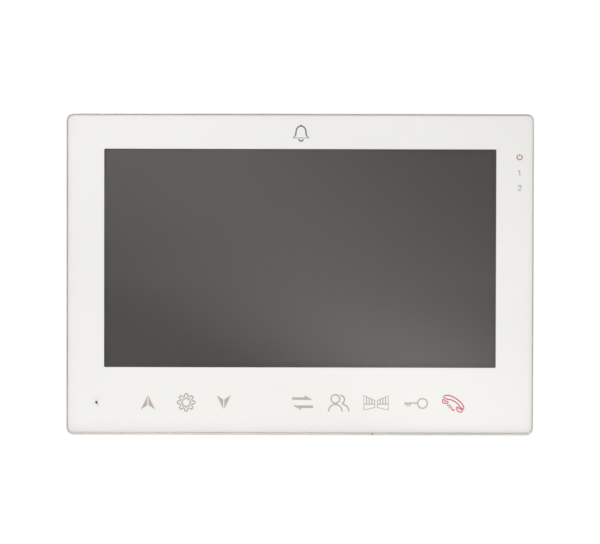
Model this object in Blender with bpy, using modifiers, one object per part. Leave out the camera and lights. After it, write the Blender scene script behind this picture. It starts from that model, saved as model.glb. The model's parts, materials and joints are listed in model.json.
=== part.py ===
"""Seven-inch hands-free video intercom monitor on its steel wall plate, as separate parts.

The origin is on the wall, at the centre of the wall plate's back face. +X is to the user's right,
+Z is up, and the glass front faces -Y. All sizes are in metres.
"""

import math

import bmesh
import bpy
from mathutils import Matrix, Vector

MM = 0.001

# Driving dimensions -------------------------------------------------------------------------
BODY_W = 183.6 * MM
BODY_H = 126.5 * MM
BODY_CORNER = 2.8 * MM
WALL = 2.0 * MM
GAP = 0.3 * MM
TONGUE_INSET = 1.15 * MM
LAP = 1.0 * MM
LAP_PLAY = 0.15 * MM
SIDE_REVEAL = 0.55 * MM
BOTTOM_REVEAL = 1.15 * MM
FLANGE = 3.0 * MM

DISPLAY_W = 154.1 * MM
DISPLAY_H = 85.9 * MM
DISPLAY_Z = 6.4 * MM
MODULE_W = 164.9 * MM
MODULE_TOP_BORDER = 5.0 * MM
MODULE_BOTTOM_BORDER = 8.1 * MM

KEY_ROW_Z = -50.4 * MM
TOUCH_BOARD_Z = -53.4 * MM
MICROPHONE_X = -80.0 * MM
PINHOLE_R = 0.55 * MM
INDICATOR_X = 86.4 * MM
INDICATOR_Z = (46.0 * MM, 40.0 * MM, 34.0 * MM)

# Planes from the wall (y = 0) to the front, along -Y.
PLATE_FRONT = -1.2 * MM
REAR_FACE = -1.0 * MM
RECESS_FLOOR = -4.0 * MM
BOARD_BACK = -9.8 * MM
BOARD_FRONT = -11.4 * MM
PARTING = -12.5 * MM
BRACKET_BACK = -12.95 * MM
BRACKET_FRONT = -13.7 * MM
MODULE_BACK = -13.9 * MM
BEZEL_BACK = -14.6 * MM
CELL_BACK = -17.3 * MM
HOUSING_FRONT = -18.1 * MM
TRIM_BACK = -18.3 * MM
MODULE_FRONT = -19.3 * MM
GASKET_BACK = -19.4 * MM
GASKET_FRONT = -19.65 * MM
TRIM_SEAT = -19.6 * MM
MASK_BACK = -19.75 * MM
GLASS_BACK = -20.0 * MM
TRIM_FRONT = -21.3 * MM
GLASS_FRONT = -22.0 * MM

# Values that follow from them.
SHELL_W = BODY_W - 2 * GAP
SHELL_H = BODY_H - 2 * GAP
SHELL_CORNER = BODY_CORNER - GAP
GLASS_W = BODY_W - 2 * SIDE_REVEAL
GLASS_H = BODY_H - SIDE_REVEAL - BOTTOM_REVEAL
GLASS_Z = (BOTTOM_REVEAL - SIDE_REVEAL) / 2
GLASS_CORNER = BODY_CORNER - SIDE_REVEAL
MODULE_H = DISPLAY_H + MODULE_TOP_BORDER + MODULE_BOTTOM_BORDER
MODULE_Z = DISPLAY_Z + (MODULE_TOP_BORDER - MODULE_BOTTOM_BORDER) / 2
SHELL_BOTTOM = -SHELL_H / 2

# Wall plate and the recess in the rear housing that it fits.
PLATE_W = 90 * MM
PLATE_H = 68 * MM
RELEASE_TRAVEL = 6 * MM
RECESS_CLEARANCE = 1 * MM
HOOK_X = 38 * MM
HOOK_Z = (18 * MM, -24 * MM)
HOOK_W = 10 * MM
HOOK_RISE = 5 * MM
PLATE_SCREWS = [(x * MM, z * MM) for x, z in ((-30, 4), (30, 4), (0, 27), (0, -29.5))]
CABLE_OPENING = (52 * MM, 20 * MM)
BAY_OPENING = (60 * MM, 22 * MM)
BAY_Z = -15 * MM

# Main board.
BOARD_LEFT = -34 * MM
BOARD_RIGHT = 83 * MM
BOARD_TOP = 28 * MM
BOARD_BOTTOM = -57.5 * MM
BOARD_SCREWS = [(x * MM, z * MM) for z in (24, -53) for x in (-30, 79)]
HOUSING_SCREWS = [(x * MM, z * MM) for z in (56, -56) for x in (-85.9, 85.9)]
SCREW_SEAT = -2.8 * MM

# Speaker, memory card, switches.
SPEAKER_X = -67 * MM
SPEAKER_Z = -34 * MM
SPEAKER_R = 17.5 * MM
CARD_Z = -14 * MM
CARD_SIZE = (15 * MM, 0.75 * MM, 11 * MM)
CARD_Y = -8.6 * MM
CARD_OUTER_END = 91.2 * MM
POWER_SWITCH_X = 56 * MM
POWER_SWITCH_Y = -7.6 * MM
SWITCH_TRAVEL = 2.5 * MM
RESET_X = 28.6 * MM
RESET_Y = -13.6 * MM
RESET_TRAVEL = 0.4 * MM


# Scene --------------------------------------------------------------------------------------
for existing in list(bpy.data.objects):
    bpy.data.objects.remove(existing)

PARTS = bpy.data.collections.new("video_intercom_monitor")
CUTTERS = bpy.data.collections.new("cutters")
bpy.context.scene.collection.children.link(PARTS)
bpy.context.scene.collection.children.link(CUTTERS)


def material(name, colour, roughness, metallic=0.0):
    """A plain Principled material."""
    made = bpy.data.materials.new(name)
    made.use_nodes = True
    shader = made.node_tree.nodes["Principled BSDF"]
    shader.inputs["Base Color"].default_value = (*colour, 1.0)
    shader.inputs["Roughness"].default_value = roughness
    shader.inputs["Metallic"].default_value = metallic
    return made


GLASS = material("clear_panel", (0.90, 0.93, 0.92), 0.04)
PRINT = material("white_print", (0.86, 0.86, 0.83), 0.35)
TRIM = material("satin_trim", (0.62, 0.59, 0.57), 0.3, 0.8)
CASING = material("white_casing", (0.84, 0.84, 0.82), 0.4)
STEEL = material("zinc_plated_steel", (0.62, 0.63, 0.64), 0.35, 1.0)
SCREEN = material("lcd_surface", (0.09, 0.088, 0.085), 0.3)
BLACK = material("black_plastic", (0.03, 0.03, 0.032), 0.45)
RUBBER = material("black_rubber", (0.035, 0.035, 0.037), 0.8)
DIFFUSER = material("light_guide", (0.88, 0.88, 0.86), 0.5)
BOARD = material("circuit_board", (0.03, 0.19, 0.09), 0.4)
WHITE_BOARD = material("white_board", (0.80, 0.81, 0.80), 0.4)
CHIP = material("chip_package", (0.045, 0.045, 0.05), 0.5)
CONNECTOR = material("nylon_connector", (0.86, 0.84, 0.77), 0.5)
FLEX = material("flex_cable", (0.72, 0.45, 0.13), 0.4)
RED_LED = material("red_led", (0.80, 0.10, 0.12), 0.3)
WHITE_LED = material("white_led", (0.85, 0.85, 0.80), 0.3)
LEAD = material("cable_sheath", (0.10, 0.10, 0.11), 0.5)


# Shape makers -------------------------------------------------------------------------------
def new_object(name, mesh, look=None):
    """Links a mesh as a part, or as a cutter when it has no material."""
    made = bpy.data.objects.new(name, mesh)
    if look is None:
        CUTTERS.objects.link(made)
        made.hide_render = True
        made.display_type = "WIRE"
    else:
        PARTS.objects.link(made)
        mesh.materials.append(look)
    return made


def edges_along(mesh, axis):
    """The edges that run parallel to X, Y or Z, as axis 0, 1 or 2."""
    return [
        e
        for e in mesh.edges
        if abs((e.verts[1].co - e.verts[0].co).normalized()[axis]) > 0.999
    ]


def add_block(mesh, size, centre, corner=0.0, segments=3, axis=1):
    """Adds a box to a bmesh, with the four edges along axis rounded."""
    cube = bmesh.new()
    bmesh.ops.create_cube(cube, size=1.0)
    bmesh.ops.scale(cube, vec=Vector(size), verts=cube.verts)
    if corner:
        bmesh.ops.bevel(
            cube,
            geom=edges_along(cube, axis),
            offset=corner,
            segments=segments,
            profile=0.5,
            affect="EDGES",
        )
    bmesh.ops.translate(cube, vec=Vector(centre), verts=cube.verts)
    copied = bpy.data.meshes.new("cube")
    cube.to_mesh(copied)
    mesh.from_mesh(copied)
    bpy.data.meshes.remove(copied)
    cube.free()


def mesh_of(name, fill):
    """A mesh whose bmesh is filled by a function."""
    shape = bmesh.new()
    fill(shape)
    mesh = bpy.data.meshes.new(name)
    shape.to_mesh(mesh)
    shape.free()
    return mesh


def block(name, size, centre, look=None, corner=0.0, segments=3, axis=1):
    """A box of that size about its centre."""
    mesh = mesh_of(name, lambda shape: add_block(shape, size, (0, 0, 0), corner, segments, axis))
    made = new_object(name, mesh, look)
    made.location = centre
    return made


def slab(name, width, height, front, back, x=0.0, z=0.0, look=None, corner=0.0, segments=3):
    """An upright plate between two planes, its outline centred on x and z."""
    size = (width, back - front, height)
    return block(name, size, (x, (front + back) / 2, z), look, corner, segments)


def bank(name, blocks):
    """One cutter made of several boxes, each given as size, centre and corner radius."""

    def fill(shape):
        for size, centre, corner in blocks:
            add_block(shape, size, centre, corner, 2)

    return new_object(name, mesh_of(name, fill))


def add_rod(mesh, radius, front, back, x, z, sides):
    """Adds a cylinder along Y to a bmesh."""
    place = Matrix.Translation((x, (front + back) / 2, z)) @ Matrix.Rotation(math.pi / 2, 4, "X")
    bmesh.ops.create_cone(
        mesh,
        cap_ends=True,
        segments=sides,
        radius1=radius,
        radius2=radius,
        depth=back - front,
        matrix=place,
    )


def rods(name, radius, front, back, places, look=None, sides=16):
    """Cylinders along Y at each of the places (x, z)."""

    def fill(shape):
        for x, z in places:
            add_rod(shape, radius, front, back, x, z, sides)

    return new_object(name, mesh_of(name, fill), look)


def turned(name, profile, place, look, steps=16):
    """A shape turned about Y. The profile runs from the front of the axis to the back, as (radius, y)."""

    def fill(shape):
        points = [shape.verts.new((radius, 0.0, -y)) for radius, y in profile]
        for first, second in zip(points, points[1:]):
            shape.edges.new((first, second))

    made = new_object(name, mesh_of(name, fill), look)
    made.location = place
    made.rotation_euler = (math.pi / 2, 0.0, 0.0)
    screw = made.modifiers.new("turn", "SCREW")
    screw.axis = "Z"
    screw.steps = steps
    screw.render_steps = steps
    screw.use_merge_vertices = True
    screw.merge_threshold = 0.00001
    return made


def combine(target, operation, *tools):
    """Adds one Boolean for each tool, and returns the target."""
    for tool in tools:
        boolean = target.modifiers.new(tool.name, "BOOLEAN")
        boolean.operation = operation
        boolean.object = tool
    return target


def shell(name, width, height, corner, open_plane, closed_plane, look, taper=0.0, knee=None):
    """A tray with one open side.

    Its side walls lean in by taper between the knee plane and the closed side.
    """
    facing = 1.0 if closed_plane > open_plane else -1.0
    straight_end = closed_plane if knee is None else knee

    def fill(shape):
        size = (width, abs(straight_end - open_plane), height)
        add_block(shape, size, (0, (straight_end + open_plane) / 2, 0), corner)
        shape.faces.ensure_lookup_table()
        closed = max(shape.faces, key=lambda face: facing * face.calc_center_median().y)
        opened = min(shape.faces, key=lambda face: facing * face.calc_center_median().y)
        if knee is not None:
            moved = bmesh.ops.extrude_face_region(shape, geom=[closed])["geom"]
            bmesh.ops.delete(shape, geom=[closed], context="FACES_ONLY")
            for vert in [g for g in moved if isinstance(g, bmesh.types.BMVert)]:
                vert.co.y = closed_plane
                vert.co.x -= math.copysign(taper, vert.co.x)
                vert.co.z -= math.copysign(taper, vert.co.z)
        bmesh.ops.delete(shape, geom=[opened], context="FACES_ONLY")

    made = new_object(name, mesh_of(name, fill), look)
    solidify = made.modifiers.new("wall", "SOLIDIFY")
    solidify.thickness = WALL
    solidify.offset = -1.0
    solidify.use_even_offset = True
    return made


def lap_ring(name, inset, width, front, back):
    """A ring that follows the casing's outline, its outer edge inset from the casing's sides."""
    corner = max(SHELL_CORNER - inset, 0.5 * MM)
    band = slab(name, SHELL_W - 2 * inset, SHELL_H - 2 * inset, front, back, corner=corner)
    inner = inset + width
    middle_w = SHELL_W - 2 * inner
    middle_h = SHELL_H - 2 * inner
    middle = slab(f"{name}_middle", middle_w, middle_h, front - MM, back + MM, corner=0.4 * MM)
    return combine(band, "DIFFERENCE", middle)


def in_mm(points):
    """Points whose coordinates are given in millimetres."""
    return [tuple(value * MM for value in point) for point in points]


def smooth_points(points, per_span):
    """Points along a Catmull-Rom curve through the given ones."""
    knots = [Vector(p) for p in (points[0], *points, points[-1])]
    found = []
    for a, b, c, d in zip(knots, knots[1:], knots[2:], knots[3:]):
        square = 2 * a - 5 * b + 4 * c - d
        cube = 3 * b - a - 3 * c + d
        for step in range(per_span):
            t = step / per_span
            found.append(0.5 * (2 * b + (c - a) * t + square * t**2 + cube * t**3))
    return [*found, Vector(points[-1])]


def lead(name, points, radius, look, per_span=4):
    """A round lead along a smooth curve through the points."""
    curve = bpy.data.curves.new(name, "CURVE")
    curve.dimensions = "3D"
    curve.bevel_depth = radius
    curve.bevel_resolution = 2
    curve.use_fill_caps = True
    curve.materials.append(look)
    route = smooth_points(points, per_span)
    spline = curve.splines.new("POLY")
    spline.points.add(len(route) - 1)
    for point, place in zip(spline.points, route):
        point.co = (*place, 1.0)
    made = bpy.data.objects.new(name, curve)
    PARTS.objects.link(made)
    return made


def ribbon(name, points, x, width, thickness, look):
    """A flat flex cable of one width that follows a smooth line of (y, z) points."""
    route = smooth_points([(0.0, y, z) for y, z in points], 3)

    def fill(shape):
        rows = [
            [shape.verts.new((side * width / 2, place.y, place.z)) for side in (-1, 1)]
            for place in route
        ]
        for (a, b), (c, d) in zip(rows, rows[1:]):
            shape.faces.new((a, b, d, c))

    made = new_object(name, mesh_of(name, fill), look)
    made.location.x = x
    solidify = made.modifiers.new("thickness", "SOLIDIFY")
    solidify.thickness = thickness
    solidify.offset = 0.0
    return made


# Wall plate ---------------------------------------------------------------------------------
def wall_plate():
    """Pressed steel plate with four upward hooks, a cable opening and slotted screw holes."""
    plate = slab("wall_plate", PLATE_W, PLATE_H, PLATE_FRONT, 0.0, look=STEEL, corner=4 * MM)
    sheet = -PLATE_FRONT
    middle = PLATE_FRONT / 2
    lip_front = RECESS_FLOOR - WALL - 0.2 * MM - sheet
    lip_height = HOOK_RISE + sheet
    for row, hook_z in enumerate(HOOK_Z):
        for side in (-1, 1):
            name = f"hook_{row}_{'left' if side < 0 else 'right'}"
            x = side * HOOK_X
            leg = slab(f"{name}_leg", HOOK_W, sheet, lip_front, middle, x, hook_z + sheet / 2)
            lip_z = hook_z + lip_height / 2
            lip = slab(f"{name}_lip", HOOK_W, lip_height, lip_front, lip_front + sheet, x, lip_z)
            combine(plate, "UNION", leg, lip)
    depth = 3 * sheet
    openings = [((CABLE_OPENING[0], depth, CABLE_OPENING[1]), (0, middle, BAY_Z), 3 * MM)]
    punched = (HOOK_W + 0.4 * MM, depth, HOOK_RISE + 1.6 * MM)
    openings += [
        (punched, (side * HOOK_X, middle, hook_z - punched[2] / 2), 0.8 * MM)
        for hook_z in HOOK_Z
        for side in (-1, 1)
    ]
    screw_slot = (8 * MM, depth, 4.5 * MM)
    openings += [(screw_slot, (x, middle, z), 2.1 * MM) for x, z in PLATE_SCREWS]
    return combine(plate, "DIFFERENCE", bank("plate_openings", openings))


# Casing -------------------------------------------------------------------------------------
def front_glass():
    """Clear two-millimetre panel with the microphone pinhole."""
    glass = slab("front_glass", GLASS_W, GLASS_H, GLASS_FRONT, GLASS_BACK, z=GLASS_Z, look=GLASS,
                 corner=GLASS_CORNER, segments=5)
    ends = (GLASS_FRONT - MM, GLASS_BACK + MM)
    pinhole = rods("glass_pinhole", PINHOLE_R, *ends, [(MICROPHONE_X, KEY_ROW_Z)], sides=12)
    return combine(glass, "DIFFERENCE", pinhole)


def printed_mask():
    """White printed film behind the glass, with the display window and the microphone pinhole."""
    front = GLASS_BACK + 0.05 * MM
    mask = slab("printed_mask", GLASS_W - 2 * GAP, GLASS_H - 2 * GAP, front, MASK_BACK, z=GLASS_Z,
                look=PRINT, corner=GLASS_CORNER - GAP)
    ends = (front - MM, MASK_BACK + MM)
    window = slab("mask_window", DISPLAY_W, DISPLAY_H, *ends, z=DISPLAY_Z, corner=0.4 * MM)
    place = [(MICROPHONE_X, KEY_ROW_Z)]
    pinhole = rods("mask_pinhole", PINHOLE_R + 0.15 * MM, *ends, place, sides=12)
    return combine(mask, "DIFFERENCE", window, pinhole)


def trim_frame():
    """Plated ring: a thin lip around the glass, and a flange behind that the glass is bonded to."""
    trim = slab("trim_frame", BODY_W, BODY_H, TRIM_FRONT, TRIM_BACK, look=TRIM, corner=BODY_CORNER,
                segments=5)
    play = 0.1 * MM
    pocket = slab("trim_pocket", GLASS_W + 2 * play, GLASS_H + 2 * play, TRIM_FRONT - MM, TRIM_SEAT,
                  z=GLASS_Z, corner=GLASS_CORNER + play, segments=5)
    inside_w = BODY_W - 2 * FLANGE
    inside_h = BODY_H - 2 * FLANGE
    inside = slab("trim_inside", inside_w, inside_h, TRIM_FRONT, TRIM_BACK + MM, corner=0.8 * MM)
    hole_z = (BOTTOM_REVEAL - play - BODY_H) / 2
    hole = block("trim_hole", (0.8 * MM, 2.4 * MM, 0.55 * MM), (RESET_X, TRIM_FRONT, hole_z))
    return combine(trim, "DIFFERENCE", pocket, inside, hole)


def front_housing():
    """Shallow front tray: carries the display, the trim ring and the four screw posts."""
    open_plane = PARTING - GAP / 2
    housing = shell("front_housing", SHELL_W, SHELL_H, SHELL_CORNER, open_plane, HOUSING_FRONT, CASING)
    inner = HOUSING_FRONT + WALL
    root = inner - WALL / 2
    posts = rods("front_posts", 2.6 * MM, root, open_plane, HOUSING_SCREWS)
    seat_size = (4 * MM, MODULE_BACK - root, 6 * MM)
    seat_y = root + seat_size[1] / 2
    seat_places = [(side * 87 * MM, seat_y, z * MM) for side in (-1, 1) for z in (-28, 36)]
    seats = bank("bracket_seats", [(seat_size, place, 0.0) for place in seat_places])
    tongue_w = WALL - TONGUE_INSET
    tongue = lap_ring("casing_tongue", TONGUE_INSET, tongue_w, open_plane - MM, open_plane + LAP)
    combine(housing, "UNION", posts, seats, tongue)
    ends = (HOUSING_FRONT - MM, inner + MM)
    module_size = (MODULE_W + 0.8 * MM, MODULE_H + 0.8 * MM)
    module = slab("module_opening", *module_size, *ends, z=MODULE_Z, corner=0.8 * MM)
    touch_window = slab("touch_window", 62 * MM, 8 * MM, *ends, z=TOUCH_BOARD_Z, corner=MM)
    capsule_place = [(MICROPHONE_X, KEY_ROW_Z)]
    microphone = rods("microphone_opening", 4.6 * MM, *ends, capsule_place, sides=20)
    pilot_ends = (HOUSING_FRONT + MM, open_plane + MM)
    pilots = rods("front_pilots", 1.35 * MM, *pilot_ends, HOUSING_SCREWS, sides=12)
    pinhole = block("reset_pinhole", (1.2 * MM, 1.2 * MM, 3 * WALL), (RESET_X, RESET_Y, SHELL_BOTTOM),
                    None, 0.35 * MM, 2, 2)
    return combine(housing, "DIFFERENCE", module, touch_window, microphone, pilots, pinhole)


def grille_slots():
    """Upright slots that fill a circle over the speaker."""
    pitch = 4 * MM
    grille_radius = 14.5 * MM
    found = []
    for column in range(-3, 4):
        away = column * pitch
        height = 2 * math.sqrt(grille_radius**2 - away**2)
        size = (1.8 * MM, 3 * WALL, height)
        found.append((size, (SPEAKER_X + away, REAR_FACE, SPEAKER_Z), 0.85 * MM))
    return found


def vent_slots():
    """A row of upright cooling slots above the wall plate."""
    pitch = 6 * MM
    count = 18
    size = (2 * MM, 3 * WALL, 11 * MM)
    first = -(count - 1) / 2 * pitch
    return [(size, (first + i * pitch, REAR_FACE, 47.5 * MM), 0.9 * MM) for i in range(count)]


def hook_slots():
    """The slots that the wall plate's hooks enter, tall enough for the hooks to pass before the drop."""
    found = []
    top_gap = 0.2 * MM
    for hook_z in HOOK_Z:
        top = hook_z - PLATE_FRONT + top_gap
        bottom = hook_z - RELEASE_TRAVEL - 0.6 * MM
        for side in (-1, 1):
            size = (HOOK_W + 1.6 * MM, 3 * WALL, top - bottom)
            place = (side * HOOK_X, RECESS_FLOOR - WALL / 2, (top + bottom) / 2)
            found.append((size, place, 0.6 * MM))
    return found


def plate_pads():
    """Four pads on the recess floor that steady the monitor against the wall plate."""
    front, back = RECESS_FLOOR - WALL / 2, PLATE_FRONT - GAP
    size = (6 * MM, back - front, 8 * MM)
    places = [(x * MM, z * MM) for x, z in ((-20, 26), (20, 26), (-30, -14), (30, -14))]
    return bank("plate_pads", [(size, (x, (front + back) / 2, z), MM) for x, z in places])


def rear_housing():
    """Deep rear tray with a recess for the wall plate, the connector bay, vents and the speaker grille."""
    open_plane = PARTING + GAP / 2
    housing = shell("rear_housing", SHELL_W, SHELL_H, SHELL_CORNER, open_plane, REAR_FACE, CASING,
                    taper=2.5 * MM, knee=-5.5 * MM)
    recess_w = PLATE_W + 2 * RECESS_CLEARANCE + MM
    recess_top = PLATE_H / 2 + RECESS_CLEARANCE
    recess_bottom = -PLATE_H / 2 - RELEASE_TRAVEL - RECESS_CLEARANCE
    recess_h = recess_top - recess_bottom
    recess_z = (recess_top + recess_bottom) / 2
    inner = REAR_FACE - WALL
    root = inner + WALL / 2
    tub = slab("recess_tub", recess_w + 2 * WALL, recess_h + 2 * WALL, RECESS_FLOOR - WALL, root,
               z=recess_z, corner=3 * MM)
    bosses = rods("rear_bosses", 2.8 * MM, open_plane, root, HOUSING_SCREWS)
    board_posts = rods("board_posts", 3 * MM, BOARD_BACK + GAP, root, BOARD_SCREWS)
    speaker_place = [(SPEAKER_X, SPEAKER_Z)]
    rim_front = -6.6 * MM
    rim = rods("speaker_rim", SPEAKER_R + 1.6 * MM, rim_front, root, speaker_place, sides=32)
    hollow_r = SPEAKER_R + 0.4 * MM
    rim_hollow = rods("speaker_rim_hollow", hollow_r, rim_front - MM, inner, speaker_place, sides=32)
    combine(housing, "UNION", tub, bosses, board_posts, rim)
    recess = slab("plate_recess", recess_w, recess_h, RECESS_FLOOR, MM, z=recess_z, corner=2 * MM)
    bay_ends = (RECESS_FLOOR - 2 * WALL, RECESS_FLOOR + MM)
    bay = slab("connector_bay", *BAY_OPENING, *bay_ends, z=BAY_Z, corner=2 * MM)
    slots = bank("rear_slots", [*hook_slots(), *grille_slots(), *vent_slots()])
    screw_holes = rods("rear_screw_holes", 1.5 * MM, open_plane - MM, 0.0, HOUSING_SCREWS, sides=12)
    counterbores = rods("rear_counterbores", 2.7 * MM, SCREW_SEAT, 0.0, HOUSING_SCREWS)
    board_pilots = rods("board_pilots", 1.2 * MM, BOARD_BACK - MM, -4.2 * MM, BOARD_SCREWS, sides=12)
    rebate_inset = TONGUE_INSET - LAP_PLAY
    rebate = lap_ring("casing_rebate", rebate_inset, WALL, open_plane - MM, open_plane + LAP)
    card_slot_size = (3 * WALL, 1.35 * MM, CARD_SIZE[2] + 0.8 * MM)
    card_slot = block("card_slot", card_slot_size, (SHELL_W / 2, CARD_Y, CARD_Z))
    switch_size = (SWITCH_TRAVEL + 3.2 * MM, 2.4 * MM, 3 * WALL)
    switch_place = (POWER_SWITCH_X, POWER_SWITCH_Y, SHELL_BOTTOM)
    switch_slot = block("switch_slot", switch_size, switch_place, None, 0.4 * MM, 2, 2)
    combine(housing, "DIFFERENCE", rim_hollow, recess, bay, slots, screw_holes, counterbores, board_pilots,
            card_slot, switch_slot, rebate)
    return combine(housing, "UNION", plate_pads())


# Display ------------------------------------------------------------------------------------
def display():
    """Seven-inch LCD: gasket, bezel tray, cell, backlight, driver strip and clamp brackets."""

    def around_window(name, margin, front, back, look=None):
        width, height = DISPLAY_W + 2 * margin, DISPLAY_H + 2 * margin
        return slab(name, width, height, front, back, z=DISPLAY_Z, look=look)

    gasket = around_window("display_gasket", 2.5 * MM, GASKET_FRONT, GASKET_BACK, RUBBER)
    gasket_opening = around_window("gasket_opening", 0.5 * MM, GASKET_FRONT - MM, GASKET_BACK + MM)
    combine(gasket, "DIFFERENCE", gasket_opening)
    sheet = 0.5 * MM
    inner_w = MODULE_W - 2 * sheet
    inner_h = MODULE_H - 2 * sheet
    inner_front = MODULE_FRONT + sheet
    bezel = slab("lcd_bezel", MODULE_W, MODULE_H, MODULE_FRONT, BEZEL_BACK, z=MODULE_Z, look=STEEL)
    bezel_inside = slab("bezel_inside", inner_w, inner_h, inner_front, BEZEL_BACK + MM, z=MODULE_Z)
    bezel_opening = around_window("bezel_opening", 1.2 * MM, MODULE_FRONT - MM, inner_front + MM)
    combine(bezel, "DIFFERENCE", bezel_inside, bezel_opening)
    cell_w = inner_w - 0.4 * MM
    cell_h = inner_h - 0.4 * MM
    slab("lcd_cell", cell_w, cell_h, inner_front + 0.2 * MM, CELL_BACK, z=MODULE_Z, look=SCREEN)
    slab("lcd_backlight", cell_w, cell_h, CELL_BACK + 0.2 * MM, MODULE_BACK, z=MODULE_Z, look=DIFFUSER)
    slab("lcd_driver_strip", 134 * MM, 10 * MM, BRACKET_FRONT, -12.9 * MM, z=-37 * MM, look=BOARD)
    for side, name in ((-1, "lcd_bracket_left"), (1, "lcd_bracket_right")):
        bracket = slab(name, 15 * MM, 74 * MM, BRACKET_FRONT, BRACKET_BACK, side * 81.3 * MM, 4 * MM,
                       STEEL, MM)
        relief_ends = (BRACKET_FRONT - MM, BRACKET_BACK + MM)
        relief = slab(f"{name}_relief", 12 * MM, 12 * MM, *relief_ends, side * 78 * MM, 24 * MM,
                      corner=MM)
        combine(bracket, "DIFFERENCE", relief)


# Touch keys, indicators and microphone ------------------------------------------------------
def touch_keys():
    """Capacitive key board behind the printed symbols, with its controller."""
    front, back = -19.6 * MM, -18.6 * MM
    board_x = 0.5 * MM
    board = slab("touch_key_board", 134 * MM, 13.2 * MM, front, back, board_x, TOUCH_BOARD_Z,
                 WHITE_BOARD, MM, 2)
    hole_places = [(board_x + side * 64.5 * MM, -58 * MM) for side in (-1, 1)]
    holes = rods("touch_board_holes", 0.8 * MM, front - MM, back + MM, hole_places, sides=10)
    combine(board, "DIFFERENCE", holes)
    slab("touch_controller", 7 * MM, 5 * MM, -18.5 * MM, -17.3 * MM, -18 * MM, TOUCH_BOARD_Z, CHIP)


def indicators():
    """Three small lamps on a strip, each in its own hole of the light baffle."""
    width, height = 4.4 * MM, 20 * MM
    front = -19.7 * MM
    board_front, board_back = -18.95 * MM, -18.35 * MM
    baffle_back = board_front - 0.05 * MM
    middle = sum(INDICATOR_Z) / len(INDICATOR_Z)
    slab("indicator_board", width, height, board_front, board_back, INDICATOR_X, middle, WHITE_BOARD)
    baffle = slab("indicator_light_baffle", width, height, front, baffle_back, INDICATOR_X, middle,
                  BLACK)
    lamp_places = [(INDICATOR_X, z) for z in INDICATOR_Z]
    wells = rods("baffle_wells", 1.5 * MM, front - MM, board_front + MM, lamp_places, sides=14)
    combine(baffle, "DIFFERENCE", wells)
    lamps = (("power_led", RED_LED), ("door_1_led", WHITE_LED), ("door_2_led", WHITE_LED))
    for (name, look), z in zip(lamps, INDICATOR_Z):
        slab(name, 1.6 * MM, 0.9 * MM, front + 0.2 * MM, baffle_back, INDICATOR_X, z, look)


def microphone():
    """Electret capsule in a soft boot that seals it to the pinhole."""
    place = (MICROPHONE_X, 0.0, KEY_ROW_Z)
    front, back = -19.6 * MM, -15.4 * MM
    hole_r = PINHOLE_R + 0.15 * MM
    turned("microphone_boot", [
        (hole_r, front), (4.2 * MM, front), (4.2 * MM, back), (3.2 * MM, back), (3.2 * MM, front + MM),
        (hole_r, front + MM), (hole_r, front),
    ], place, RUBBER, 20)
    turned("microphone_capsule", [
        (0.0, -18.4 * MM), (2.9 * MM, -18.4 * MM), (3.0 * MM, -18.3 * MM), (3.0 * MM, -15.8 * MM),
        (0.0, -15.8 * MM),
    ], place, STEEL, 20)


# Speaker ------------------------------------------------------------------------------------
def speaker():
    """Thin 35 mm speaker that faces the rear grille: gasket, basket, cone and magnet."""
    place = (SPEAKER_X, 0.0, SPEAKER_Z)
    turned("speaker_gasket", [
        (15.4 * MM, -4.0 * MM), (SPEAKER_R, -4.0 * MM), (SPEAKER_R, -3.2 * MM), (15.4 * MM, -3.2 * MM),
        (15.4 * MM, -4.0 * MM),
    ], place, RUBBER, 32)
    turned("speaker_basket", [
        (9.6 * MM, -9.2 * MM), (10.8 * MM, -9.2 * MM), (14.6 * MM, -5.3 * MM), (SPEAKER_R, -5.3 * MM),
        (SPEAKER_R, -4.3 * MM), (15.4 * MM, -4.3 * MM), (15.4 * MM, -4.7 * MM), (14.2 * MM, -4.7 * MM),
        (10.2 * MM, -8.6 * MM), (9.6 * MM, -8.6 * MM), (9.6 * MM, -9.2 * MM),
    ], place, STEEL, 32)
    turned("speaker_cone", [
        (0.0, -5.0 * MM), (4.4 * MM, -6.2 * MM), (5.2 * MM, -7.6 * MM), (13.2 * MM, -4.6 * MM),
        (14.2 * MM, -4.1 * MM), (15.1 * MM, -4.4 * MM), (15.1 * MM, -4.1 * MM), (14.2 * MM, -3.7 * MM),
        (13.1 * MM, -4.2 * MM), (5.4 * MM, -7.1 * MM), (4.7 * MM, -5.8 * MM), (0.0, -4.5 * MM),
    ], place, BLACK, 32)
    turned("speaker_magnet", [
        (0.0, -11.2 * MM), (9.0 * MM, -11.2 * MM), (9.4 * MM, -10.8 * MM), (9.4 * MM, -8.3 * MM),
        (0.0, -8.3 * MM),
    ], place, STEEL, 24)


# Main board ---------------------------------------------------------------------------------
def header(name, pins, x):
    """A shrouded wire header with its row of pins, open towards the wall."""
    pitch = 2.5 * MM
    width = pins * pitch + 2.4 * MM
    base = BOARD_BACK + 0.3 * MM
    top = base + 5.8 * MM
    shroud = slab(name, width, 5.8 * MM, base, top, x, BAY_Z, CONNECTOR)
    floor = base + 1.2 * MM
    hollow = slab(f"{name}_hollow", width - 1.6 * MM, 4.2 * MM, floor, top + MM, x, BAY_Z)
    keyway = slab(f"{name}_keyway", width / 3, 2 * MM, floor + 2 * MM, top + MM, x, BAY_Z + 2.6 * MM)
    combine(shroud, "DIFFERENCE", hollow, keyway)
    pin_size = (0.64 * MM, 4.4 * MM, 0.64 * MM)
    row = [
        (pin_size, (x + (i - (pins - 1) / 2) * pitch, floor - 0.4 * MM + pin_size[1] / 2, BAY_Z), 0.0)
        for i in range(pins)
    ]
    return combine(shroud, "UNION", bank(f"{name}_pins", row))


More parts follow.
